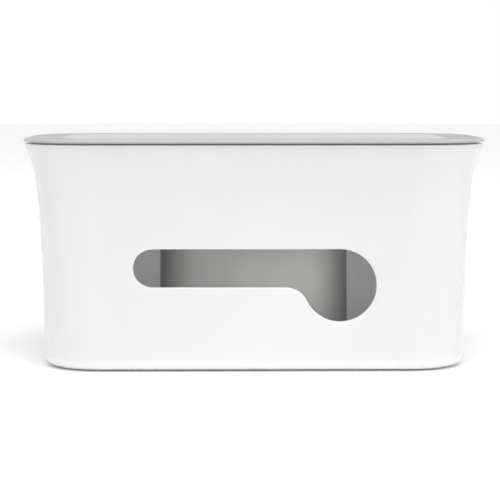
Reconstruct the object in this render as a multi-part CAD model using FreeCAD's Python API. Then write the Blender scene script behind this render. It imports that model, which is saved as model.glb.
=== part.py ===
import FreeCAD, Part

import math
import os

from FreeCAD import Vector

# Lidded desktop cable box: an open tub with a flaring wall and a keyhole cable outlet, a drop-on lid with
# an inlaid mat, a winding core inside for spare cable, and four rubber feet.
# Millimetres. Origin at the middle of the footprint, on the surface the feet stand on.
# +X runs along the box, the wall with the cable outlet faces -Y, +Z is up.

# Overall size, measured over the lid, which is the widest piece
LENGTH = 240.0
DEPTH = 136.0
HEIGHT = 119.0
PLAN_CORNER = 40.0  # radius of the lid's outline at its corners
FOOT_STAND = 0.8  # height of the tub's underside above the desk

# Lid
LID_EDGE = 1.7  # thickness of the lid where it overhangs the rim
LID_EDGE_BREAK = 0.5  # the lid's edges are broken by this much, above and below
LID_UNDER_BREAK = 0.25
REVEAL = 1.0  # open line between the lid's edge and the rim
LID_SHELL = 2.2  # thickness of the lid inside its skirt, which follows the recess for the mat
SKIRT_THICK = 2.0
SKIRT_GAP = 0.4  # play between the skirt and the mouth of the tub
RIB_THICK = 1.6
RIB_DEPTH = 3.0
RIB_END = 4.0  # from a rib's end to the edge of the recess
CROSS_RIBS = 3

# Mat let into the top of the lid
MAT_MARGIN = 19.0  # from the lid's edge to the recess
MAT_THICK = 1.4
MAT_GAP = 0.3
MAT_EDGE_BREAK = 0.3

# Tub
WALL = 2.8
FLOOR = 3.0
RIM_INSET = 0.4  # how far the rim stands in from the lid's edge
RIM_BREAK = 0.3
BASE_ROUND = 5.0
FLOOR_BREAK = 3.0  # slope between the floor and the wall inside
MOUTH_INSET = 2.9  # from the rim's outer edge to the mouth's upright face
LEDGE_DROP = 2.2  # from the rim down to the ledge that carries the lid
UPRIGHT_FROM = 109.5  # the wall's inner face stops leaning out here and carries the ledge

# Keyhole outlet in the front wall: a long slot that opens into a round hole for a plug
SLOT_HEIGHT = 19.6
OUTLET_HALF = 62.0  # the outlet's two ends lie this far either side of the middle
OUTLET_TOP = 63.4
HOLE_RADIUS = 18.6
NECK_ROUND = 12.0  # rounding where the slot's lower edge meets the hole
OUTLET_BREAK = 0.4

# Winding core
CORE_LENGTH = 102.0
CORE_WIDTH = 44.0
CORE_TOP = 86.0
CORE_WALL = 2.4
CORE_DRAFT = 0.7  # degrees
CORE_BREAK = 2.0
COLLAR_HEIGHT = 7.0
COLLAR_THICK = 2.2
CORE_FIT = 0.1

# Feet
FOOT_RADIUS = 7.0
FOOT_THICK = 2.0
FOOT_GAP = 0.2
FOOT_BREAK = 0.4
FOOT_X = 84.0
FOOT_Y = 32.0

TOUCH = 0.001  # shapes nearer than this are taken to touch

LID_UNDER = HEIGHT - LID_EDGE
RIM = LID_UNDER - REVEAL
LEDGE = RIM - LEDGE_DROP
RECESS_FLOOR = HEIGHT - MAT_THICK
PLATE_UNDER = RECESS_FLOOR - LID_SHELL
FLOOR_TOP = FOOT_STAND + FLOOR

# The wall leans out in three arcs, each tangent to the one below: height of its upper end, and radius
WALL_ARCS = ((66.0, 1430.0), (92.0, 520.0), (RIM - RIM_BREAK, 79.0))
WALL_FOOT = FOOT_STAND + BASE_ROUND


def reach(height):
    """How far the wall has leaned out at a height, from where it stands upright at its foot."""
    out = 0.0
    lean = 0.0
    low = WALL_FOOT
    for top, radius in WALL_ARCS:
        if height <= low:
            break
        steeper = lean + (min(height, top) - low) / radius
        out += radius * (math.sqrt(1 - lean**2) - math.sqrt(1 - steeper**2))
        lean = steeper
        low = top
    return out


# Distances out from a corner's upright axis. The same section runs round the whole plan
RIM_R = PLAN_CORNER - RIM_INSET
BASE_R = RIM_R - reach(RIM)
MOUTH_R = RIM_R - MOUTH_INSET
LEDGE_R = BASE_R + reach(UPRIGHT_FROM) - WALL
SKIRT_R = MOUTH_R - SKIRT_GAP
RECESS_R = PLAN_CORNER - MAT_MARGIN
MAT_R = RECESS_R - MAT_GAP

RUN_X = LENGTH / 2 - PLAN_CORNER  # the corner axes stand at plus and minus RUN_X, RUN_Y
RUN_Y = DEPTH / 2 - PLAN_CORNER
CORE_R = CORE_WIDTH / 2
CORE_RUN = CORE_LENGTH / 2 - CORE_R


def point(out, up):
    return Vector(out, 0, up)


def line(start, end):
    return Part.makeLine(point(*start), point(*end))


def arc(*points):
    return Part.Arc(*[point(*p) for p in points]).toShape()


def wall_arcs(low, high, shift=0.0):
    """The wall's curve between two heights, or that curve moved inwards."""
    levels = [low] + [top for top, _ in WALL_ARCS if low < top < high] + [high]
    edges = []
    for start, end in zip(levels, levels[1:]):
        heights = (start, (start + end) / 2, end)
        edges.append(arc(*[(BASE_R - shift + reach(z), z) for z in heights]))
    return edges


def section(edges):
    return Part.Face(Part.Wire(Part.__sortEdges__(edges)))


def outline(points):
    """Section with straight sides only."""
    return Part.Face(Part.makePolygon([point(*p) for p in points + points[:1]]))


def carried_round(face, run_x=RUN_X, run_y=RUN_Y):
    """Carries a section round a rounded-rectangle plan: straight runs and four quarter turns.

    The section lies in the XZ plane, its X being the distance out from a corner's upright axis. Where it
    reaches that axis, the middle of the plan is filled too. With no run one way, the plan is round-ended.
    """
    on_axis = [v.Z for v in face.Vertexes if abs(v.X) < TOUCH]
    pieces = []
    sides = [(0, run_x, run_y), (90, run_y, run_x), (180, run_x, run_y), (270, run_y, run_x)]
    for angle, out, half in sides:
        start = face.copy()
        start.translate(Vector(out, half, 0))
        solids = [start.revolve(Vector(out, half, 0), Vector(0, 0, 1), 90)]
        if half > 0:
            solids.append(start.extrude(Vector(0, -2 * half, 0)))
        for solid in solids:
            solid.rotate(Vector(0, 0, 0), Vector(0, 0, 1), angle)
            pieces.append(solid)
    if on_axis and run_y > 0:
        low = min(on_axis)
        tall = max(on_axis) - low
        pieces.append(Part.makeBox(2 * run_x, 2 * run_y, tall, Vector(-run_x, -run_y, low)))
    return pieces[0].fuse(pieces[1:]).removeSplitter()


def tub_outside():
    """Section of the tub's outer form, from the corner's axis out to the flaring wall."""
    flat = BASE_R - BASE_ROUND
    slant = BASE_ROUND * math.sqrt(0.5)
    top = RIM - RIM_BREAK
    return section([
        line((0, FOOT_STAND), (flat, FOOT_STAND)),
        arc((flat, FOOT_STAND), (flat + slant, WALL_FOOT - slant), (BASE_R, WALL_FOOT)),
        *wall_arcs(WALL_FOOT, top),
        line((RIM_R, top), (RIM_R - RIM_BREAK, RIM)),
        line((RIM_R - RIM_BREAK, RIM), (0, RIM)),
        line((0, RIM), (0, FOOT_STAND)),
    ])


def tub_inside():
    """Section of the hollow: it follows the wall's curve, and stands upright below the ledge."""
    foot = FLOOR_TOP + FLOOR_BREAK
    foot_r = BASE_R - WALL + reach(foot)
    return section([
        line((0, FLOOR_TOP), (foot_r - FLOOR_BREAK, FLOOR_TOP)),
        line((foot_r - FLOOR_BREAK, FLOOR_TOP), (foot_r, foot)),
        *wall_arcs(foot, UPRIGHT_FROM, WALL),
        line((LEDGE_R, UPRIGHT_FROM), (LEDGE_R, LEDGE)),
        line((LEDGE_R, LEDGE), (0, LEDGE)),
        line((0, LEDGE), (0, FLOOR_TOP)),
    ])


def mouth():
    """Section of the mouth above the ledge, where the lid's skirt drops in."""
    over = RIM + REVEAL
    return outline([(0, LEDGE), (MOUTH_R, LEDGE), (MOUTH_R, over), (0, over)])


def keyhole():
    """Face of the cable outlet in the XZ plane: a round-ended slot, a round hole and the neck between."""
    half = SLOT_HEIGHT / 2
    slot_z = OUTLET_TOP - half
    slot_x = -OUTLET_HALF + half
    hole_x = OUTLET_HALF - HOLE_RADIUS
    hole_z = OUTLET_TOP - HOLE_RADIUS
    neck_z = slot_z - half - NECK_ROUND
    apart = HOLE_RADIUS + NECK_ROUND
    neck_x = hole_x - math.sqrt(apart**2 - (hole_z - neck_z) ** 2)

    def at(x, z, r, degrees):
        turn = math.radians(degrees)
        return Vector(x + r * math.cos(turn), 0, z + r * math.sin(turn))

    meeting = math.degrees(math.atan2(neck_z - hole_z, neck_x - hole_x)) % 360
    neck_end = meeting - 180
    return Part.Face(Part.Wire([
        Part.makeLine(at(hole_x, hole_z, HOLE_RADIUS, 90), at(slot_x, slot_z, half, 90)),
        Part.Arc(*[at(slot_x, slot_z, half, a) for a in (90, 180, 270)]).toShape(),
        Part.makeLine(at(slot_x, slot_z, half, 270), at(neck_x, neck_z, NECK_ROUND, 90)),
        Part.Arc(*[at(neck_x, neck_z, NECK_ROUND, a) for a in (90, (90 + neck_end) / 2, neck_end)]).toShape(),
        Part.Arc(*[at(hole_x, hole_z, HOLE_RADIUS, a) for a in (meeting, (meeting + 450) / 2, 450)]).toShape(),
    ]))


def outlet_cutter():
    """Tool that cuts the keyhole outlet straight through the front wall."""
    face = keyhole()
    face.translate(Vector(0, -DEPTH / 2, 0))
    return face.extrude(Vector(0, DEPTH / 2 - CORE_WIDTH / 2 - WALL, 0))


def on_outlet(edge):
    """True for an edge of the outlet on the wall's outer face."""
    box = edge.BoundBox
    low = OUTLET_TOP - 2 * HOLE_RADIUS
    outer_half = box.YMax < WALL / 2 - RUN_Y - BASE_R
    return outer_half and box.ZMin > low - TOUCH and box.ZMax < OUTLET_TOP + TOUCH


def foot_places():
    return {
        "front_left": (-FOOT_X, -FOOT_Y),
        "front_right": (FOOT_X, -FOOT_Y),
        "back_left": (-FOOT_X, FOOT_Y),
        "back_right": (FOOT_X, FOOT_Y),
    }


def floor_collar():
    """Low wall on the floor that the winding core is pressed over."""
    outer = CORE_R - CORE_WALL - CORE_FIT
    inner = outer - COLLAR_THICK
    low = FLOOR_TOP - FLOOR / 2
    high = FLOOR_TOP + COLLAR_HEIGHT
    wall = outline([(inner, low), (outer, low), (outer, high), (inner, high)])
    return carried_round(wall, CORE_RUN, 0)


def make_tub():
    body = carried_round(tub_outside())
    body = body.cut(carried_round(tub_inside()))
    body = body.cut(carried_round(mouth()))
    body = body.fuse(floor_collar())
    body = body.cut(outlet_cutter())
    body = body.removeSplitter()
    body = body.makeChamfer(OUTLET_BREAK, [e for e in body.Edges if on_outlet(e)])
    seat = FOOT_THICK - FOOT_STAND
    for x, y in foot_places().values():
        body = body.cut(Part.makeCylinder(FOOT_RADIUS + FOOT_GAP, seat, Vector(x, y, FOOT_STAND)))
    return body


def make_winding_core():
    """Hollow round-ended core, closed on top, its sides leaning in a little as they rise."""
    lean = math.tan(math.radians(CORE_DRAFT))
    shoulder = CORE_TOP - CORE_BREAK
    under = CORE_TOP - CORE_WALL
    out_r = CORE_R - (shoulder - FLOOR_TOP) * lean
    in_r = CORE_R - CORE_WALL - (under - FLOOR_TOP) * lean
    wall = section([
        line((CORE_R - CORE_WALL, FLOOR_TOP), (CORE_R, FLOOR_TOP)),
        line((CORE_R, FLOOR_TOP), (out_r, shoulder)),
        line((out_r, shoulder), (out_r - CORE_BREAK, CORE_TOP)),
        line((out_r - CORE_BREAK, CORE_TOP), (0, CORE_TOP)),
        line((0, CORE_TOP), (0, under)),
        line((0, under), (in_r, under)),
        line((in_r, under), (CORE_R - CORE_WALL, FLOOR_TOP)),
    ])
    return carried_round(wall, CORE_RUN, 0)


def make_lid():
    """Flat lid: an overhanging edge, a recess for the mat, and a skirt that stands on the tub's ledge."""
    top = HEIGHT
    edge = PLAN_CORNER
    high = top - LID_EDGE_BREAK
    low = LID_UNDER + LID_UNDER_BREAK
    inner = edge - LID_EDGE_BREAK
    under = edge - LID_UNDER_BREAK
    skirt_in = SKIRT_R - SKIRT_THICK
    step = RECESS_R + LID_SHELL
    plate = section([
        line((0, RECESS_FLOOR), (RECESS_R, RECESS_FLOOR)),
        line((RECESS_R, RECESS_FLOOR), (RECESS_R, top)),
        line((RECESS_R, top), (inner, top)),
        line((inner, top), (edge, high)),
        line((edge, high), (edge, low)),
        line((edge, low), (under, LID_UNDER)),
        line((under, LID_UNDER), (SKIRT_R, LID_UNDER)),
        line((SKIRT_R, LID_UNDER), (SKIRT_R, LEDGE)),
        line((SKIRT_R, LEDGE), (skirt_in, LEDGE)),
        line((skirt_in, LEDGE), (skirt_in, top - LID_SHELL)),
        line((skirt_in, top - LID_SHELL), (step, top - LID_SHELL)),
        line((step, top - LID_SHELL), (step, PLATE_UNDER)),
        line((step, PLATE_UNDER), (0, PLATE_UNDER)),
        line((0, PLATE_UNDER), (0, RECESS_FLOOR)),
    ])
    return carried_round(plate).fuse(lid_ribs()).removeSplitter()


def lid_ribs():
    """Stiffening ribs under the plate: two along the lid and a few across it."""
    half_x = RUN_X + RECESS_R - RIB_END
    half_y = RUN_Y + RECESS_R - RIB_END
    low = PLATE_UNDER - RIB_DEPTH
    tall = RIB_DEPTH + LID_SHELL / 2
    ribs = []
    for side in (-1, 1):
        y = side * half_y / 2 - RIB_THICK / 2
        ribs.append(Part.makeBox(2 * half_x, RIB_THICK, tall, Vector(-half_x, y, low)))
    for i in range(CROSS_RIBS):
        x = (i - (CROSS_RIBS - 1) / 2) * half_x - RIB_THICK / 2
        ribs.append(Part.makeBox(RIB_THICK, 2 * half_y, tall, Vector(x, -half_y, low)))
    return ribs[0].fuse(ribs[1:])


def make_lid_mat():
    """Flat mat that lies in the lid's recess, flush with the top."""
    low = HEIGHT - MAT_EDGE_BREAK
    inner = MAT_R - MAT_EDGE_BREAK
    return carried_round(section([
        line((0, RECESS_FLOOR), (MAT_R, RECESS_FLOOR)),
        line((MAT_R, RECESS_FLOOR), (MAT_R, low)),
        line((MAT_R, low), (inner, HEIGHT)),
        line((inner, HEIGHT), (0, HEIGHT)),
        line((0, HEIGHT), (0, RECESS_FLOOR)),
    ]))


def make_foot(x, y):
    """Round rubber foot let into the underside of the tub."""
    foot = Part.makeCylinder(FOOT_RADIUS, FOOT_THICK, Vector(x, y, 0))
    lower = [e for e in foot.Edges if e.BoundBox.ZMax < TOUCH]
    return foot.makeChamfer(FOOT_BREAK, lower)


def main():
    os.makedirs("parts", exist_ok=True)
    pieces = {
        "tub": make_tub(),
        "winding_core": make_winding_core(),
        "lid": make_lid(),
        "lid_mat": make_lid_mat(),
    }
    for place, (x, y) in foot_places().items():
        pieces["foot_" + place] = make_foot(x, y)
    for name, shape in pieces.items():
        solids = shape.Solids
        print(name, "solids", len(solids), "valid", shape.isValid(), "volume", round(shape.Volume))
        shape.exportStep(os.path.join("parts", name + ".step"))


main()
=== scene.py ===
"""Looks of a lidded desktop cable box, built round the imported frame.

The box is a white moulded tub with a flaring wall and a keyhole cable outlet, a grey drop-on lid with a
paler mat let into its top, a winding core inside and four rubber feet. Most pieces are a profile carried
round a rounded plan. The wall round the outlet and the underside round the feet are mixes of two outlines.
Lengths are worked out in millimetres and put into the meshes in metres.
"""

import math

import bmesh
import bpy
import numpy as np
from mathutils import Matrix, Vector


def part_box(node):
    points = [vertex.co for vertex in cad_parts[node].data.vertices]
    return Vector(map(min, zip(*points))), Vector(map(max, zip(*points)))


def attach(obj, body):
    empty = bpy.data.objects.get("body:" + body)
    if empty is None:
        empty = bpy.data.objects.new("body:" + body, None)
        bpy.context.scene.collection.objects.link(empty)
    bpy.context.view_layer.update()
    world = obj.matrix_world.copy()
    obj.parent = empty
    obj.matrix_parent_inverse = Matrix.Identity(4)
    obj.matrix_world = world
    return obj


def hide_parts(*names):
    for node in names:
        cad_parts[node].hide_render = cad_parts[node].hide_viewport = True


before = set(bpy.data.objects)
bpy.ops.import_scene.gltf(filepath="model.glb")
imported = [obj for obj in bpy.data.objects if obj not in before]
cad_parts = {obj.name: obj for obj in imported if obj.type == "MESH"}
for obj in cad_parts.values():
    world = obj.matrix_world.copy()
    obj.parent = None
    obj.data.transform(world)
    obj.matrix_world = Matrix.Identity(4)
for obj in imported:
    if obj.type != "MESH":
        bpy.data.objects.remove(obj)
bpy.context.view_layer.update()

MM = 0.001


def frame_box(node):
    """Lowest and highest corner of a node of the frame, in millimetres."""
    low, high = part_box(node)
    return np.array(low) / MM, np.array(high) / MM


LID_LOW, LID_HIGH = frame_box("lid")
MAT_LOW, MAT_HIGH = frame_box("lid_mat")
TUB_LOW, TUB_HIGH = frame_box("tub")
CORE_HIGH = frame_box("winding_core")[1]
FOOT_LOW, FOOT_HIGH = frame_box("foot_back_right")

# Overall sizes. The upright axes of the plan's four corners stand at plus and minus RUN_X, RUN_Y
HEIGHT = LID_HIGH[2]
RIM = TUB_HIGH[2]
FOOT_STAND = TUB_LOW[2]
PLAN_CORNER = 40.0
RUN_X = LID_HIGH[0] - PLAN_CORNER
RUN_Y = LID_HIGH[1] - PLAN_CORNER

# Roundings that several pieces share, and the one where a foot meets its seat
EDGE_BREAK = 0.35
FILLET = 0.3
TIGHT_FILLET = 0.15
SEAT_FILLET = 0.1

# Tub
WALL = 2.8
FLOOR = 3.0
BASE_ROUND = 5.0
FLOOR_ROUND = 3.0
RIM_BREAK = 0.3
LID_OVERHANG = 0.4
MOUTH_INSET = 2.9
LEDGE_DROP = 2.2
UPRIGHT_FROM = 109.5  # the inner wall stops leaning out at this height
RIM_R = PLAN_CORNER - LID_OVERHANG
WALL_FOOT = FOOT_STAND + BASE_ROUND
WALL_ARCS = ((66.0, 1430.0), (92.0, 520.0), (RIM - RIM_BREAK, 79.0))  # upper end and radius of each arc

# Lid, mat and ribs
LID_EDGE = 1.7
LID_SHELL = 2.2
LID_ROUND = 0.7
RECESS_BREAK = 0.25
ROOF_FILLET = 0.5
SKIRT_THICK = 2.0
SKIRT_GAP = 0.4
MAT_MARGIN = 19.0
MAT_THICK = MAT_HIGH[2] - MAT_LOW[2]
MAT_ROUND = 0.4
MAT_LOWER_ROUND = 0.2
RIB_THICK = 1.6
RIB_END = 4.0
RIB_DRAFT = 0.9  # thickness at a rib's lower edge, as a share of that at its root

# Keyhole outlet: a slot that opens into a round hole at its right end, through a hollow neck
SLOT_HEIGHT = 19.6
OUTLET_HALF = 62.0
OUTLET_TOP = 63.4
HOLE_RADIUS = 18.6
NECK_ROUND = 12.0
OUTLET_LIP = 0.45

# Winding core and its collar
CORE_WALL = 2.4
CORE_DRAFT = math.radians(0.7)
CORE_ROUND = 2.4
CORE_FILLET = 1.0
CORE_FOOT_BREAK = 0.2
CORE_STRAIGHT = 0.94  # share of the core's height that its evenly spread rows reach
COLLAR_HEIGHT = 7.0
COLLAR_THICK = 2.2
COLLAR_ROUND = 0.4
COLLAR_SINK = 1.0  # how far the collar goes into the floor
CORE_FIT = 0.1

# Feet
FOOT_RADIUS = (FOOT_HIGH[0] - FOOT_LOW[0]) / 2
FOOT_X = (FOOT_HIGH[0] + FOOT_LOW[0]) / 2
FOOT_Y = (FOOT_HIGH[1] + FOOT_LOW[1]) / 2
FOOT_THICK = FOOT_HIGH[2]
FOOT_ROUND = 0.45
FOOT_GAP = 0.2
SEAT_RIM = 2.0  # how far outside its foot a seat's profile ends

# Rows and places. Places are counted along a straight run of the plan, in x and in y
SUPPORT = 0.12  # distance from a rounding to the row that keeps the flat beside it flat
END_FACE = 4 * SUPPORT  # length of the first and the last face along a straight run
TURN_FACES = 28  # faces along each quarter turn of the plan
TUB_PLACES = (61, 17)
LID_PLACES = (31, 11)
RIB_PLACES = (12, 8)
CORE_PLACES = 20
COLLAR_PLACES = 12
CORE_ROWS = 24
BASE_FACES = 14
ROUND_FACES = 8  # faces along a large rounding
PANEL_LOW, PANEL_HIGH, PANEL_ROWS = 14, 92, 45  # the band of the wall that holds the outlet
ROWS_BELOW, ROWS_ABOVE_OUT, ROWS_ABOVE_IN = 5, 26, 18  # rows of the wall under and over that band
STRETCH_POINTS = 200  # points worked out along each stretch of the keyhole
STRETCH_SHARE = 1 - 1e-9  # a stretch's last point lies this far along it, so that places keep growing
LIP_FACES = 5
FIRST_SHARES = (0, 0.006)  # the outlet's outline and the row that supports its lip
OUTLET_RINGS = 16  # rows from near the outlet to the border of its panel, closer together near the outlet
OUTLET_FIRST, OUTLET_GROWTH = 0.08, 1.3
CELL_X, CELL_Y = 8, 4  # faces of the plan's runs that a foot's cell takes in
CELL_FACES = 8  # faces along the sides that a foot's cell shares with the cross between the cells
CELL_RINGS = 7
SEAT_FACES = 4

TURN_FULL = math.radians(12)  # a turn this sharp between two faces counts as an edge
NO_LENGTH = 1e-9  # square millimetres: below it, two steps are too short to have a direction
MERGE = 2e-6  # metres: points closer than this are one
NO_RUN = np.zeros(1)  # the only place along a run of no length


def reach(z):
    """How far the wall has leaned out at height z.

    The wall is three arcs, each tangent to the one below. Along an arc the sine of the lean grows by
    height over radius, and the arc moves out by its radius times the fall in the cosine of the lean.
    """
    z = np.asarray(z, float)
    out = np.zeros_like(z)
    sine, low = 0.0, WALL_FOOT
    for top, radius in WALL_ARCS:
        there = sine + (np.clip(z, low, top) - low) / radius
        out += radius * (math.sqrt(1 - sine**2) - np.sqrt(1 - there**2))
        sine += (top - low) / radius
        low = top
    return out


# Distances outwards from the plan's corner axes, and heights that follow from the sizes above
BASE_R = RIM_R - float(reach(RIM))
MOUTH_R = RIM_R - MOUTH_INSET
LEDGE = RIM - LEDGE_DROP
LEDGE_R = BASE_R + float(reach(UPRIGHT_FROM)) - WALL
FLOOR_TOP = FOOT_STAND + FLOOR
SKIRT_R = MOUTH_R - SKIRT_GAP
LID_UNDER = HEIGHT - LID_EDGE
RECESS_R = PLAN_CORNER - MAT_MARGIN
RECESS_FLOOR = HEIGHT - MAT_THICK
MAT_R = MAT_HIGH[0] - RUN_X
CORE_R = CORE_HIGH[1]
CORE_RUN = CORE_HIGH[0] - CORE_R
CORE_TOP = CORE_HIGH[2]

# Middles of the outlet's three arcs, as x and z, and the direction from the hole's middle to the neck's
SLOT_HALF = SLOT_HEIGHT / 2
SLOT_MIDDLE = np.array([SLOT_HALF - OUTLET_HALF, OUTLET_TOP - SLOT_HALF])
HOLE_MIDDLE = np.array([OUTLET_HALF - HOLE_RADIUS, OUTLET_TOP - HOLE_RADIUS])
NECK_Z = SLOT_MIDDLE[1] - SLOT_HALF - NECK_ROUND
NECK_ASIDE = math.sqrt((HOLE_RADIUS + NECK_ROUND) ** 2 - (HOLE_MIDDLE[1] - NECK_Z) ** 2)
NECK_MIDDLE = np.array([HOLE_MIDDLE[0] - NECK_ASIDE, NECK_Z])
MEETING = math.atan2(NECK_Z - HOLE_MIDDLE[1], -NECK_ASIDE) % (2 * math.pi)


# ---------------------------------------------------------------- profiles and plans


def rounded(corners, faces=5):
    """Profile through corners, each given as out, up and the radius of the arc that replaces it.

    The arc touches both sides at the radius over the tangent of half the corner's angle from the corner.
    A further point stands up to SUPPORT outside each end of the arc. Radius 0 keeps the corner sharp.
    """
    corners = np.array(corners, float)
    points, radii = corners[:, :2], corners[:, 2]
    line = []
    for i, radius in enumerate(radii):
        here = points[i]
        if radius == 0:
            line.append(here[None])
            continue
        back, ahead = points[i - 1] - here, points[i + 1] - here
        room = min(np.linalg.norm(back), np.linalg.norm(ahead)) / 2
        back, ahead = back / np.linalg.norm(back), ahead / np.linalg.norm(ahead)
        half = math.acos(np.clip(back @ ahead, -1, 1)) / 2
        cut = radius / math.tan(half)
        centre = here + (back + ahead) / np.linalg.norm(back + ahead) * radius / math.sin(half)
        start, end = here + back * cut - centre, here + ahead * cut - centre
        span = math.pi - 2 * half
        t = np.linspace(0, 1, faces + 1)[:, None]
        arc = centre + (np.sin((1 - t) * span) * start + np.sin(t * span) * end) / math.sin(span)
        edge = max(cut, min(cut + SUPPORT, room))
        line += [(here + back * edge)[None], arc, (here + ahead * edge)[None]]
    return np.concatenate(line)


def eased(half, count):
    """Places from minus half to half: so many evenly spread, and one more close to each end."""
    inner = np.linspace(-half, half, count)
    return np.concatenate([[-half], [END_FACE - half], inner[1:-1], [half - END_FACE], [half]])


def runs(counts):
    """Places along the box's own runs in x and in y."""
    return eased(RUN_X, counts[0]), eased(RUN_Y, counts[1])


def plan(xs, ys):
    """Centres and outward directions round a plan with the given places along its straight runs.

    It goes front run, front right turn, right run, back right turn, and so on. On a run the centre moves
    and the direction stays. On a turn the centre stays and the direction goes through a quarter circle.
    """
    turn = np.linspace(0, math.pi / 2, TURN_FACES + 1)[1:-1]
    right, back = np.full(len(ys), xs[-1]), np.full(len(xs), ys[-1])
    centres, angles = [], []
    for quarter, side in enumerate([(xs, -back), (right, ys), (-xs, back), (-right, -ys)]):
        side = np.stack(side, 1)
        outward = (quarter - 1) * math.pi / 2
        centres += [side, np.repeat(side[-1:], len(turn), 0)]
        angles += [np.full(len(side), outward), outward + turn]
    angles = np.concatenate(angles)
    return np.concatenate(centres), np.stack([np.cos(angles), np.sin(angles)], 1)


def carried(profile, xs, ys):
    """Surface of a profile carried round a plan: point = centre + out x direction, at the profile's z."""
    centres, directions = plan(xs, ys)
    out, up = profile[:, 0], profile[:, 1]
    flat = centres[None] + out[:, None, None] * directions[None]
    height = np.broadcast_to(up[:, None, None], flat.shape[:2] + (1,))
    return np.concatenate([flat, height], 2)


def level(xs, ys, z):
    """Flat grid at height z over the given places."""
    x, y = np.meshgrid(xs, ys, indexing="ij")
    return np.stack([x, y, np.full_like(x, z)], 2)


def between(inner, outer, shares):
    """Grid of loops from one closed loop to another: each is the two loops' mix at its share."""
    shares = np.asarray(shares)[:, None, None]
    return inner[None] * (1 - shares) + outer[None] * shares


# ---------------------------------------------------------------- meshes


def quads(grid, closed, skip=None):
    """Corner numbers of a grid's faces. A closed grid joins its last column to its first."""
    rows, columns = grid.shape[:2]
    number = np.arange(rows * columns).reshape(rows, columns)
    ahead = np.roll(number, -1, 1)
    faces = np.stack([number[:-1], ahead[:-1], ahead[1:], number[1:]], 2)
    if not closed:
        faces = faces[:, :-1]
    if skip is not None:
        return faces[~skip]
    return faces.reshape(-1, 4)


def turning(grid):
    """How sharply each point of a grid turns along its column, as a share of TURN_FULL.

    It is the angle between the step to the point and the step from it, and 0 at both ends.
    """
    steps = np.diff(grid, axis=0)
    long = np.linalg.norm(steps, axis=2)
    product = long[1:] * long[:-1]
    cosine = (steps[1:] * steps[:-1]).sum(2) / np.maximum(product, NO_LENGTH)
    angle = np.where(product > NO_LENGTH, np.arccos(np.clip(cosine, -1, 1)), 0)
    return np.clip(np.pad(angle, ((1, 1), (0, 0))) / TURN_FULL, 0, 1)


def piece(name, sheets):
    """One object from several grids: shared seams are merged, and faces turned to look outwards.

    Each sheet is its grid, whether it closes round, and which of its faces are left out. The attribute
    "edge" is 1 on the roundings and 0 on its flats. The finishes lighten the colour there: on the tub and
    the lid as a painted highlight, on the feet as wear; the lid's plastic is also polished there by hands
    and cloths.
    """
    points, faces, edges, count = [], [], [], 0
    for grid, closed, skip in sheets:
        points.append(grid.reshape(-1, 3))
        faces.append(quads(grid, closed, skip) + count)
        edges.append(turning(grid).ravel())
        count += len(points[-1])
    mesh = bpy.data.meshes.new(name)
    mesh.from_pydata((np.concatenate(points) * MM).tolist(), [], np.concatenate(faces).tolist())
    mesh.attributes.new("edge", "FLOAT", "POINT").data.foreach_set("value", np.concatenate(edges))
    work = bmesh.new()
    work.from_mesh(mesh)
    bmesh.ops.remove_doubles(work, verts=work.verts, dist=MERGE)
    bmesh.ops.recalc_face_normals(work, faces=work.faces)
    work.to_mesh(mesh)
    work.free()
    mesh.shade_smooth()
    made = bpy.data.objects.new(name, mesh)
    bpy.context.scene.collection.objects.link(made)
    return made


# ---------------------------------------------------------------- keyhole outlet


def keyhole_line(grow):
    """The keyhole's outline pushed outwards by grow: its points, as x and z, and the place of each.

    Its five stretches are the top line, the slot's round end, the slot's lower line, the neck's hollow
    arc and the hole's arc. The place along it counts stretches: 1.5 is halfway round the slot's end.
    """
    share = np.linspace(0, 1, STRETCH_POINTS)
    right = math.pi / 2

    def arc(middle, radius, start, end):
        angle = start + (end - start) * share
        return middle + radius * np.stack([np.cos(angle), np.sin(angle)], 1)

    def straight(start, end):
        return start + (end - start) * share[:, None]

    end = arc(SLOT_MIDDLE, SLOT_HALF + grow, right, 3 * right)
    neck = arc(NECK_MIDDLE, NECK_ROUND - grow, right, MEETING - 2 * right)
    hole = arc(HOLE_MIDDLE, HOLE_RADIUS + grow, MEETING, 5 * right)
    stretches = [straight(hole[-1], end[0]), end, straight(end[-1], neck[0]), neck, hole]
    places = np.concatenate([number + share * STRETCH_SHARE for number in range(len(stretches))])
    return np.concatenate(stretches), places


def keyhole(grow, along):
    """Points, as x and z, at the given places along the keyhole's outline pushed outwards by grow."""
    line, places = keyhole_line(grow)
    return np.stack([np.interp(along, places, line[:, axis]) for axis in (0, 1)], 1)


def outlet_places(across, up):
    """Places along the keyhole that face the points of a border with so many faces across and up.

    The border's four corners face the diagonals of the two round ends: at a quarter and three quarters
    of the slot's half turn, and at seven and nine eighths of a circle on the hole, which runs on to ten.
    Between them the places are evenly spaced by length.
    """
    line, places = keyhole_line(0)
    length = np.concatenate([[0], np.cumsum(np.linalg.norm(np.diff(line, axis=0), axis=1))])
    eighth = math.pi / 4
    hole_turn = 10 * eighth - MEETING
    lower_right, upper_right = ((eighths * eighth - MEETING) / hole_turn for eighths in (7, 9))
    marks = np.interp([1.25, 1.75, 4 + lower_right, 4 + upper_right], places, length)
    marks = np.append(marks, marks[0] + length[-1])
    spread = [
        np.linspace(marks[side], marks[side + 1], count + 1)[:-1]
        for side, count in enumerate((up, across, up, across))
    ]
    return np.interp(np.mod(np.concatenate(spread), length[-1]), length, places)


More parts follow.
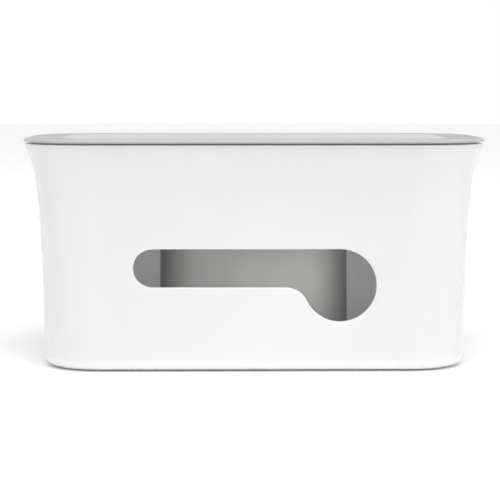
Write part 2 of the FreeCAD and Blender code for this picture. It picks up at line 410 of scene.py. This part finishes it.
def outlet_surface(xs, zs):
    """Front wall round the outlet: outer face, rounded lip, the cut through the wall, and inner face.

    Each face is a mix between the keyhole's outline and a rectangle of the wall, laid on the wall's
    curve by y = -(RUN_Y + BASE_R + reach(z)), and the cut goes straight through along Y. The lip is a
    quarter circle at each end of the cut.
    """
    across, up = len(xs) - 1, len(zs) - 1
    along = outlet_places(across, up)
    border = np.concatenate([
        [np.full(up, xs[0]), zs[:0:-1]],
        [xs[:-1], np.full(across, zs[0])],
        [np.full(up, xs[-1]), zs[:-1]],
        [xs[:0:-1], np.full(across, zs[-1])],
    ], 1).T
    rings = np.linspace(OUTLET_FIRST, 1, OUTLET_RINGS) ** OUTLET_GROWTH
    face = between(keyhole(OUTLET_LIP, along), border, np.concatenate([FIRST_SHARES, rings]))

    def on_wall(flat, depth):
        x, z = flat[..., 0], flat[..., 1]
        return np.dstack([x, -(RUN_Y + BASE_R + reach(z)) + depth, z])

    quarter = np.linspace(0, math.pi / 2, LIP_FACES + 1)
    grow = OUTLET_LIP * (1 - np.sin(quarter))
    depth = OUTLET_LIP * (1 - np.cos(quarter))
    middle = np.array([OUTLET_LIP + SUPPORT, WALL / 2, WALL - OUTLET_LIP - SUPPORT])
    grow = np.concatenate([grow, np.zeros(len(middle)), grow[::-1]])
    depth = np.concatenate([depth, middle, (WALL - depth)[::-1]])
    cut = np.stack([keyhole(more, along) for more in grow])
    return np.concatenate([on_wall(face, 0)[::-1], on_wall(cut, depth[:, None]), on_wall(face, WALL)])


# ---------------------------------------------------------------- tub


def underside(xs, ys, flat):
    """Underside inside the base's rounding, with a round seat for each foot.

    Four corner cells hold the seats. A cell runs from its seat's circle to the cell's border, along
    straight lines from the foot's middle. Plain grids fill the cross between the cells.
    """
    split_x, split_y = xs[-1 - CELL_X], ys[-1 - CELL_Y]
    front = np.linspace(split_x, RUN_X + flat, CELL_FACES + 1)
    side = np.linspace(split_y, RUN_Y + flat, CELL_FACES + 1)
    turn = np.linspace(0, math.pi / 2, TURN_FACES + 1)
    run_x = xs[-1 - CELL_X : -1][::-1]
    run_y = ys[-CELL_Y:-1]
    border = np.concatenate([
        [RUN_X + flat * np.cos(turn), RUN_Y + flat * np.sin(turn)],
        [run_x, np.full(len(run_x), RUN_Y + flat)],
        [np.full(CELL_FACES, split_x), side[-2::-1]],
        [front[1:], np.full(CELL_FACES, split_y)],
        [np.full(len(run_y), RUN_X + flat), run_y],
    ], 1).T
    middle = np.array([FOOT_X, FOOT_Y])
    toward = border - middle
    toward /= np.linalg.norm(toward, axis=1)[:, None]
    seat_r = FOOT_RADIUS + FOOT_GAP
    seat = rounded(
        [(0, FOOT_THICK, 0), (seat_r, FOOT_THICK, SEAT_FILLET), (seat_r, FOOT_STAND, TIGHT_FILLET),
         (FOOT_RADIUS + SEAT_RIM, FOOT_STAND, 0)],
        SEAT_FACES,
    )[:-1]
    rings = middle + seat[:, 0, None, None] * toward
    spread = between(rings[-1], border, np.linspace(0, 1, CELL_RINGS + 1)[1:])
    cell = np.concatenate([rings, spread])
    z = np.concatenate([seat[:, 1], np.full(CELL_RINGS, FOOT_STAND)])
    cell = np.dstack([cell, np.broadcast_to(z[:, None, None], cell.shape[:2] + (1,))])
    sheets = [(cell * [side_x, side_y, 1], True, None) for side_x in (-1, 1) for side_y in (-1, 1)]
    inner_x = xs[np.abs(xs) < split_x + SUPPORT]
    inner_y = ys[np.abs(ys) < split_y + SUPPORT]
    whole_y = np.concatenate([-side[:0:-1], inner_y, side[1:]])
    sheets.append((level(inner_x, whole_y, FOOT_STAND), False, None))
    sheets.append((level(front, inner_y, FOOT_STAND), False, None))
    sheets.append((level(-front, inner_y, FOOT_STAND), False, None))
    return sheets


def build_tub():
    """Tub: one profile carried round the plan, from the base up the flare, over the rim and down inside.

    The faces of the outlet's panel are left out of both walls, and the outlet's own surface fills them.
    """
    xs, ys = runs(TUB_PLACES)
    top = RIM - RIM_BREAK
    foot = FLOOR_TOP + FLOOR_ROUND
    panel = np.linspace(PANEL_LOW, PANEL_HIGH, PANEL_ROWS)
    low_out = np.linspace(WALL_FOOT, PANEL_LOW, ROWS_BELOW)[:-1]
    high_out = np.linspace(PANEL_HIGH, top, ROWS_ABOVE_OUT)[1:]
    low_in = np.linspace(foot, PANEL_LOW, ROWS_BELOW)[:-1]
    high_in = np.linspace(PANEL_HIGH, UPRIGHT_FROM, ROWS_ABOVE_IN)[1:]
    z_out = np.concatenate([low_out, panel, high_out])
    z_in = np.concatenate([low_in, panel, high_in])[::-1]
    outer = np.stack([BASE_R + reach(z_out), z_out], 1)
    inner = np.stack([BASE_R - WALL + reach(z_in), z_in], 1)
    base = rounded(
        [(0, FOOT_STAND, 0), (BASE_R, FOOT_STAND, BASE_ROUND), (BASE_R, 2 * WALL_FOOT, 0)], BASE_FACES
    )[1:-2]
    rim = rounded(
        [(RIM_R, LEDGE, 0), (RIM_R, RIM, RIM_BREAK), (MOUTH_R, RIM, EDGE_BREAK),
         (MOUTH_R, LEDGE, TIGHT_FILLET), (LEDGE_R, LEDGE, FILLET), (LEDGE_R, UPRIGHT_FROM, 0)]
    )[2:-1]
    deep = inner[-1, 0]
    floor = rounded(
        [(deep, foot + FLOOR_ROUND, 0), (deep, FLOOR_TOP, FLOOR_ROUND), (0, FLOOR_TOP, 0)], ROUND_FACES
    )[3:]
    profile = np.concatenate([base, outer, rim, inner, floor])
    grid = carried(profile, xs, ys)

    start_out = len(base) + len(low_out)
    start_in = len(base) + len(outer) + len(rim) + len(high_in)
    skip = np.zeros((len(profile) - 1, grid.shape[1]), bool)
    for start in (start_out, start_in):
        skip[start : start + len(panel) - 1, : len(xs) - 1] = True
    sheets = [
        (grid, True, skip),
        (outlet_surface(xs, panel), True, None),
        (level(xs, ys, FLOOR_TOP), False, None),
    ]
    sheets += underside(xs, ys, base[0, 0])
    return piece("tub_shell", sheets)


def build_collar():
    """Low wall on the tub's floor inside the core: a closed profile carried round a round-ended plan."""
    outer = CORE_R - CORE_WALL - CORE_FIT
    inner = outer - COLLAR_THICK
    low, high = FLOOR_TOP - COLLAR_SINK, FLOOR_TOP + COLLAR_HEIGHT
    profile = rounded(
        [(inner, low, 0), (outer, low, 0), (outer, high, COLLAR_ROUND), (inner, high, COLLAR_ROUND),
         (inner, low, 0)]
    )
    return piece("floor_collar", [(carried(profile, eased(CORE_RUN, COLLAR_PLACES), NO_RUN), True, None)])


# ---------------------------------------------------------------- core, lid, mat and feet


def build_core():
    """Winding core: hollow, closed on top, its sides drawn in evenly as they rise."""
    lean = math.tan(CORE_DRAFT)
    under = CORE_TOP - CORE_WALL
    foot = np.array([CORE_R, FLOOR_TOP])
    head = np.array([CORE_R - (CORE_TOP - FLOOR_TOP) * lean, CORE_TOP])
    roof_r = CORE_R - CORE_WALL - (under - FLOOR_TOP) * lean
    inside = rounded(
        [(0, under, 0), (roof_r, under, CORE_FILLET), (CORE_R - CORE_WALL, FLOOR_TOP, CORE_FOOT_BREAK),
         (*foot, 0)]
    )
    shares = np.linspace(0, 1, CORE_ROWS)[1:-1, None]
    wall = foot + (head - foot) * shares * CORE_STRAIGHT
    upper = rounded([(*wall[-1], 0), (*head, CORE_ROUND), (0, CORE_TOP, 0)], ROUND_FACES)
    profile = np.concatenate([inside, wall, upper[1:]])
    surface = carried(profile, eased(CORE_RUN, CORE_PLACES), NO_RUN)
    return piece("winding_core_moulding", [(surface, True, None)])


def build_lid():
    """Lid: one closed profile with the recess, the overhanging edge, the skirt and the stepped plate."""
    xs, ys = runs(LID_PLACES)
    under = RECESS_FLOOR - LID_SHELL
    skirt_in = SKIRT_R - SKIRT_THICK
    step = RECESS_R + LID_SHELL
    roof = HEIGHT - LID_SHELL
    profile = rounded(
        [(0, RECESS_FLOOR, 0), (RECESS_R, RECESS_FLOOR, TIGHT_FILLET), (RECESS_R, HEIGHT, RECESS_BREAK),
         (PLAN_CORNER, HEIGHT, LID_ROUND), (PLAN_CORNER, LID_UNDER, EDGE_BREAK),
         (SKIRT_R, LID_UNDER, FILLET), (SKIRT_R, LEDGE, EDGE_BREAK), (skirt_in, LEDGE, EDGE_BREAK),
         (skirt_in, roof, ROOF_FILLET), (step, roof, FILLET), (step, under, FILLET), (0, under, 0)]
    )
    sheets = [
        (carried(profile, xs, ys), True, None),
        (level(xs, ys, RECESS_FLOOR), False, None),
        (level(xs, ys, under), False, None),
    ]
    return piece("lid_moulding", sheets)


def build_ribs():
    """Stiffening ribs under the lid's plate: round-ended bars, drawn in a little, with rounded lower edges.

    Two run along the lid and three across it, each a profile carried round a plan of no depth.
    """
    low, high = LID_LOW[2], RECESS_FLOOR - LID_SHELL / 2
    half_x = RUN_X + RECESS_R - RIB_END
    half_y = RUN_Y + RECESS_R - RIB_END
    half = RIB_THICK / 2
    profile = rounded([(0, low, 0), (half * RIB_DRAFT, low, EDGE_BREAK), (half, high, 0), (0, high, 0)])
    along = carried(profile, eased(half_x - half, RIB_PLACES[0]), NO_RUN)
    across = carried(profile, eased(half_y - half, RIB_PLACES[1]), NO_RUN)[..., [1, 0, 2]]
    sheets = [(along + [0, side * half_y / 2, 0], True, None) for side in (-1, 1)]
    sheets += [(across + [place * half_x, 0, 0], True, None) for place in (-1, 0, 1)]
    return piece("lid_ribs", sheets)


def build_mat():
    """Mat: a flat pad with rounded edges, flush with the lid's top."""
    xs, ys = runs(LID_PLACES)
    profile = rounded(
        [(0, RECESS_FLOOR, 0), (MAT_R, RECESS_FLOOR, MAT_LOWER_ROUND), (MAT_R, HEIGHT, MAT_ROUND),
         (0, HEIGHT, 0)]
    )
    sheets = [
        (carried(profile, xs, ys), True, None),
        (level(xs, ys, RECESS_FLOOR), False, None),
        (level(xs, ys, HEIGHT), False, None),
    ]
    return piece("lid_mat_pad", sheets)


def build_foot(place, x, y):
    """Rubber foot: a round pad with a rounded lower edge, turned about its own middle."""
    profile = rounded(
        [(0, 0, 0), (FOOT_RADIUS, 0, FOOT_ROUND), (FOOT_RADIUS, FOOT_THICK, SEAT_FILLET), (0, FOOT_THICK, 0)]
    )
    pad = carried(profile, NO_RUN, NO_RUN) + [x, y, 0]
    return piece("foot_pad_" + place, [(pad, True, None)])


# ---------------------------------------------------------------- materials

NOISE_BAND = (0.3, 0.7)  # nearly all of a noise's values lie between these
WHOLE = (0, 1)  # from none to all
COLOUR_A, COLOUR_B, COLOUR_RESULT = 6, 7, 2  # sockets of a Mix node that mixes colours


class Finish:
    """A material with a principled shader, and short ways to add the nodes that its detail needs."""

    def __init__(self, name, colour, roughness):
        self.material = bpy.data.materials.new(name)
        self.material.use_nodes = True
        self.tree = self.material.node_tree
        self.shader = self.tree.nodes["Principled BSDF"]
        self.shader.inputs["Base Color"].default_value = (*colour, 1)
        self.shader.inputs["Roughness"].default_value = roughness
        self.place = self.tree.nodes.new("ShaderNodeTexCoord").outputs["Object"]

    def link(self, start, end):
        self.tree.links.new(start, end)

    def stretched(self, scale):
        """Place on the piece, scaled by x, y and z."""
        node = self.tree.nodes.new("ShaderNodeMapping")
        node.inputs["Scale"].default_value = scale
        self.link(self.place, node.inputs["Vector"])
        return node.outputs["Vector"]

    def noise(self, scale, detail, rough=0.5, at=None):
        """Soft noise with so many waves to a metre, at the place on the piece or at another vector."""
        node = self.tree.nodes.new("ShaderNodeTexNoise")
        node.inputs["Scale"].default_value = scale
        node.inputs["Detail"].default_value = detail
        node.inputs["Roughness"].default_value = rough
        self.link(at or self.place, node.inputs["Vector"])
        return node.outputs["Fac"]

    def cells(self, scale):
        """Distance to the nearest of scattered points, with so many cells to a metre."""
        node = self.tree.nodes.new("ShaderNodeTexVoronoi")
        node.inputs["Scale"].default_value = scale
        self.link(self.place, node.inputs["Vector"])
        return node.outputs["Distance"]

    def remap(self, value, band, to):
        """The value moved from one band of numbers to another, and held inside it."""
        node = self.tree.nodes.new("ShaderNodeMapRange")
        for name, number in zip(("From Min", "From Max", "To Min", "To Max"), (*band, *to)):
            node.inputs[name].default_value = number
        self.link(value, node.inputs["Value"])
        return node.outputs["Result"]

    def combine(self, operation, first, second):
        """Two values put together by a named operation, such as ADD."""
        node = self.tree.nodes.new("ShaderNodeMath")
        node.operation = operation
        self.link(first, node.inputs[0])
        self.link(second, node.inputs[1])
        return node.outputs[0]

    def mix(self, share, first, second):
        """Mix of two colours, each a plain colour or another node's."""
        node = self.tree.nodes.new("ShaderNodeMix")
        node.data_type = "RGBA"
        self.link(share, node.inputs["Factor"])
        for socket, colour in ((node.inputs[COLOUR_A], first), (node.inputs[COLOUR_B], second)):
            if isinstance(colour, tuple):
                socket.default_value = (*colour, 1)
            else:
                self.link(colour, socket)
        return node.outputs[COLOUR_RESULT]

    def edges(self):
        """The piece's own edge attribute: 1 on its roundings and 0 on its flats."""
        node = self.tree.nodes.new("ShaderNodeAttribute")
        node.attribute_name = "edge"
        return node.outputs["Fac"]

    def bump(self, height, depth, under=None, strength=1.0):
        """Relief of a depth in millimetres, laid over another relief if one is given."""
        node = self.tree.nodes.new("ShaderNodeBump")
        node.inputs["Strength"].default_value = strength
        node.inputs["Distance"].default_value = depth * MM
        self.link(height, node.inputs["Height"])
        if under is not None:
            self.link(under, node.inputs["Normal"])
        return node.outputs["Normal"]

    def into(self, **sockets):
        """Links values into the shader's sockets, named with underscores for spaces."""
        for name, value in sockets.items():
            self.link(value, self.shader.inputs[name.replace("_", " ")])
        return self.material


def glossy_white():
    """Polished white plastic: soft flow clouds in the colour, slow changes of gloss, fine orange peel, and a
    painted highlight that makes the colour lighter on its roundings.

    Light passes through its thin walls, so the inside isn't black when the lid is on.
    """
    f = Finish("tub_gloss_white", colour=(0.78, 0.785, 0.79), roughness=0.3)
    f.shader.inputs["Subsurface Weight"].default_value = 1.0
    f.shader.inputs["Subsurface Radius"].default_value = (1, 1, 0.97)
    f.shader.inputs["Subsurface Scale"].default_value = 8 * MM
    clouds = f.remap(f.noise(9, detail=3), NOISE_BAND, WHOLE)
    colour = f.mix(clouds, (0.775, 0.78, 0.788), (0.8, 0.803, 0.806))
    # painted highlight: the colour is made lighter on the roundings
    colour = f.mix(f.edges(), colour, (0.84, 0.84, 0.835))
    rough = f.remap(f.noise(16, detail=4), (0.25, 0.75), (0.19, 0.25))
    peel = f.bump(f.noise(700, detail=2), depth=0.01)
    return f.into(Base_Color=colour, Roughness=rough, Normal=peel)


def satin_grey():
    """Grey lid plastic with a fine eroded grain, a little polished where hands touch its edge, and a painted
    highlight there that makes its colour lighter on the roundings.
    """
    f = Finish("lid_satin_grey", colour=(0.4, 0.4, 0.4), roughness=0.45)
    f.shader.inputs["Specular IOR Level"].default_value = 0.3
    clouds = f.remap(f.noise(16, detail=3), NOISE_BAND, WHOLE)
    colour = f.mix(clouds, (0.385, 0.385, 0.383), (0.41, 0.41, 0.408))
    # the roundings: polish lowers the roughness there, and the colour is made lighter there as a painted
    # highlight
    polish_and_highlight = f.edges()
    colour = f.mix(polish_and_highlight, colour, (0.5, 0.5, 0.5))
    grain = f.combine("MULTIPLY", f.cells(1500), f.noise(900, detail=3))
    rough = f.remap(f.noise(45, detail=4), NOISE_BAND, (0.34, 0.46))
    rough = f.combine("ADD", rough, f.remap(polish_and_highlight, WHOLE, (0, -0.08)))
    return f.into(Base_Color=colour, Roughness=rough, Normal=f.bump(grain, depth=0.05))


def soft_mat():
    """Pale mat with a stippled, slightly matt face, painted shade in the stipple's dents, and faint pressed
    marks.
    """
    f = Finish("mat_soft_pale", colour=(0.6, 0.6, 0.59), roughness=0.7)
    f.shader.inputs["Specular IOR Level"].default_value = 0.3
    clouds = f.remap(f.noise(22, detail=4), NOISE_BAND, WHOLE)
    colour = f.mix(clouds, (0.585, 0.585, 0.58), (0.625, 0.625, 0.62))
    stipple = f.cells(1100)
    # painted shade: the colour darkens in the dents of the stippled face
    pit_shade = f.remap(stipple, (0.15, 0.5), (0.12, 0))
    colour = f.mix(pit_shade, colour, (0.52, 0.52, 0.515))
    rough = f.remap(f.noise(120, detail=4), NOISE_BAND, (0.55, 0.72))
    face = f.bump(stipple, depth=0.08)
    marks = f.bump(f.noise(35, detail=2), depth=0.3, under=face, strength=0.3)
    return f.into(Base_Color=colour, Roughness=rough, Normal=marks)


def matt_core():
    """Matt off-white plastic of the core, with drag lines along the way it left its mould."""
    f = Finish("core_matt_offwhite", colour=(0.8, 0.8, 0.78), roughness=0.55)
    drag = f.noise(160, detail=4, rough=0.6, at=f.stretched((1, 1, 0.05)))
    clouds = f.remap(f.noise(18, detail=3), NOISE_BAND, WHOLE)
    colour = f.mix(clouds, (0.86, 0.855, 0.835), (0.89, 0.887, 0.87))
    rough = f.remap(drag, NOISE_BAND, (0.46, 0.6))
    peel = f.bump(f.noise(1100, detail=2), depth=0.03)
    return f.into(Base_Color=colour, Roughness=rough, Normal=f.bump(drag, depth=0.06, under=peel))


def foot_rubber():
    """Dark rubber with a fine matt grain and dusty wear on its lower edge."""
    f = Finish("foot_dark_rubber", colour=(0.03, 0.03, 0.03), roughness=0.8)
    dust = f.remap(f.noise(180, detail=5), (0.45, 0.7), WHOLE)
    colour = f.mix(dust, (0.022, 0.022, 0.023), (0.06, 0.058, 0.055))
    colour = f.mix(f.edges(), colour, (0.11, 0.108, 0.1))
    rough = f.remap(f.noise(400, detail=4), NOISE_BAND, (0.7, 0.9))
    grain = f.bump(f.noise(1800, detail=3), depth=0.06)
    return f.into(Base_Color=colour, Roughness=rough, Normal=grain)


def pale_floor():
    """Plain pale studio floor."""
    f = Finish("studio_floor", colour=(0.95, 0.95, 0.95), roughness=0.6)
    clouds = f.remap(f.noise(3, detail=2), NOISE_BAND, WHOLE)
    return f.into(Base_Color=f.mix(clouds, (0.945, 0.945, 0.945), (0.955, 0.955, 0.955)))


# ---------------------------------------------------------------- the box


def dress(made, material, body, node):
    """Gives a piece its finish and its body, and hides the frame's node that it stands for."""
    made.data.materials.append(material)
    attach(made, body)
    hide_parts(node)


white, grey, mat, core, rubber = glossy_white(), satin_grey(), soft_mat(), matt_core(), foot_rubber()
dress(build_tub(), white, "tub", "tub")
dress(build_collar(), white, "tub", "tub")
dress(build_core(), core, "tub", "winding_core")
dress(build_lid(), grey, "lid", "lid")
dress(build_ribs(), grey, "lid", "lid")
dress(build_mat(), mat, "lid", "lid_mat")
for side_x, end in ((-1, "left"), (1, "right")):
    for side_y, row in ((-1, "front"), (1, "back")):
        place = row + "_" + end
        foot = build_foot(place, side_x * FOOT_X, side_y * FOOT_Y)
        dress(foot, rubber, "tub", "foot_" + place)


# ---------------------------------------------------------------- studio

FLOOR_REACH = 6000
FLOOR_RINGS = 12
WORLD_FADES = (("X", 0.45, 1.0, 0.6), ("Z", 0.12, 0.6, 0.38))  # axis, start, end, and the strength left
LIGHT_BOUNCES = 20  # light bounces many times inside the white box

CAMERA_PLACE = (-0.0130, -0.9252, 0.1454)
CAMERA_YAW = math.radians(0.692)
CAMERA_PITCH = math.radians(5.432)
CAMERA_LENS = 123.4
CAMERA_SENSOR = 36


def build_floor():
    """Round floor: rings from the middle out to its edge."""
    profile = np.stack([np.linspace(0, FLOOR_REACH, FLOOR_RINGS), np.zeros(FLOOR_RINGS)], 1)
    floor = piece("studio_floor", [(carried(profile, NO_RUN, NO_RUN), True, None)])
    floor.data.materials.append(pale_floor())


def softbox(name, place, target, width, height, power):
    """Rectangular soft light at a place in metres, turned to look at the target."""
    data = bpy.data.lights.new(name, "AREA")
    data.shape = "RECTANGLE"
    data.size, data.size_y = width, height
    data.energy = power
    lamp = bpy.data.objects.new(name, data)
    bpy.context.scene.collection.objects.link(lamp)
    lamp.location = place
    aim = Vector(target) - Vector(place)
    lamp.rotation_euler = aim.to_track_quat("-Z", "Y").to_euler()


def build_surroundings():
    """White surroundings, brightest along the horizon and dimmer overhead and to the two sides.

    The strength is the product of two fades. Each falls evenly as the direction's part along its axis,
    taken without sign, goes from the fade's start to its end.
    """
    world = bpy.data.worlds.new("studio")
    bpy.context.scene.world = world
    world.use_nodes = True
    tree = world.node_tree
    back = tree.nodes["Background"]
    back.inputs["Color"].default_value = (1, 1, 1, 1)
    direction = tree.nodes.new("ShaderNodeTexCoord").outputs["Generated"]
    split = tree.nodes.new("ShaderNodeSeparateXYZ")
    tree.links.new(direction, split.inputs[0])
    both = tree.nodes.new("ShaderNodeMath")
    both.operation = "MULTIPLY"
    for socket, (axis, start, end, left) in zip(both.inputs, WORLD_FADES):
        size = tree.nodes.new("ShaderNodeMath")
        size.operation = "ABSOLUTE"
        tree.links.new(split.outputs[axis], size.inputs[0])
        fade = tree.nodes.new("ShaderNodeMapRange")
        for name, number in (("From Min", start), ("From Max", end), ("To Min", 1.0), ("To Max", left)):
            fade.inputs[name].default_value = number
        tree.links.new(size.outputs[0], fade.inputs["Value"])
        tree.links.new(fade.outputs["Result"], socket)
    tree.links.new(both.outputs[0], back.inputs["Strength"])


def build_lights():
    """Two upright strips beside the corners, softboxes in front and behind, and a broad overhead panel."""
    middle = (0, 0, 0.06)
    left_corner, right_corner = (-0.095, -0.045, 0.06), (0.095, -0.045, 0.06)
    softbox("left_strip", (-1.28, -0.97, 0.3), left_corner, width=0.1, height=1.0, power=4.2)
    softbox("right_strip", (1.5, -0.56, 0.3), right_corner, width=0.12, height=1.0, power=3.6)
    softbox("front_softbox", (1.4, -2.2, 1.0), middle, width=1.2, height=0.9, power=9.5)
    softbox("back_softbox", (-0.5, 1.4, 1.7), middle, width=1.2, height=0.6, power=4.0)
    panel = bpy.data.lights.new("overhead_panel", "SUN")
    panel.energy = 2.0
    panel.angle = math.radians(50)
    lamp = bpy.data.objects.new("overhead_panel", panel)
    bpy.context.scene.collection.objects.link(lamp)
    lamp.rotation_euler = (math.radians(20), 0, math.radians(8))


def build_camera():
    """Camera a little under a metre in front of the box, slightly above its lid, with a long lens."""
    data = bpy.data.cameras.new("camera")
    data.sensor_width = CAMERA_SENSOR
    data.lens = CAMERA_LENS
    camera = bpy.data.objects.new("camera", data)
    bpy.context.scene.collection.objects.link(camera)
    camera.location = CAMERA_PLACE
    camera.rotation_euler = (math.pi / 2 - CAMERA_PITCH, 0, -CAMERA_YAW)
    bpy.context.scene.camera = camera


build_floor()
build_surroundings()
build_lights()
build_camera()
scene = bpy.context.scene
scene.view_settings.view_transform = "Standard"
scene.cycles.max_bounces = LIGHT_BOUNCES
scene.cycles.diffuse_bounces = LIGHT_BOUNCES
